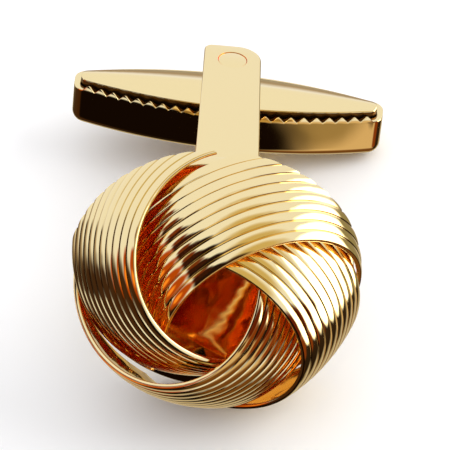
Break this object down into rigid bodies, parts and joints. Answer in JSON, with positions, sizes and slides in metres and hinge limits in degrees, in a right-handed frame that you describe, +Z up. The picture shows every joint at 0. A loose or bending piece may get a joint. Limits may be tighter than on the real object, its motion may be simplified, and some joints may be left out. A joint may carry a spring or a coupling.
{
  "type": "knot cufflink",
  "caption": "Knot cufflink: a hollow woven dome of ribbed ribbons on a round back plate, with a forked post and a boat-shaped swivel toggle.",
  "frame": {"origin": "middle of the loose cufflink's box, on the surface that it rests on", "axes": "+Z up from the surface; +Y along the cufflink from the knot to the toggle, level with the surface; +X to the right as seen from the knot's side"},
  "size_m": [0.0198, 0.0282, 0.0169],
  "materials": {
    "ribbon": "polished gold plating",
    "post": "polished gold plating",
    "pin": "polished gold plating",
    "toggle": "polished gold plating",
    "toggle_cover": "polished gold plating"
  },
  "bodies": {
    "knot_and_post": {"ribbon_left": "ribbon", "ribbon_top": "ribbon", "ribbon_right": "ribbon", "ribbon_bottom": "ribbon", "post": "post", "pivot_pin": "pin"},
    "toggle": {"toggle_cup": "toggle", "toggle_cover": "toggle_cover"}
  },
  "joints": [
    {"name": "toggle_swivel", "type": "hinge", "parent": "knot_and_post", "child": "toggle", "pos_m": [0.00017, 0.0115, 0.00416], "axis": [0.1392, 0.2479, 0.9587], "range_deg": [-88, 92]}
  ]
}
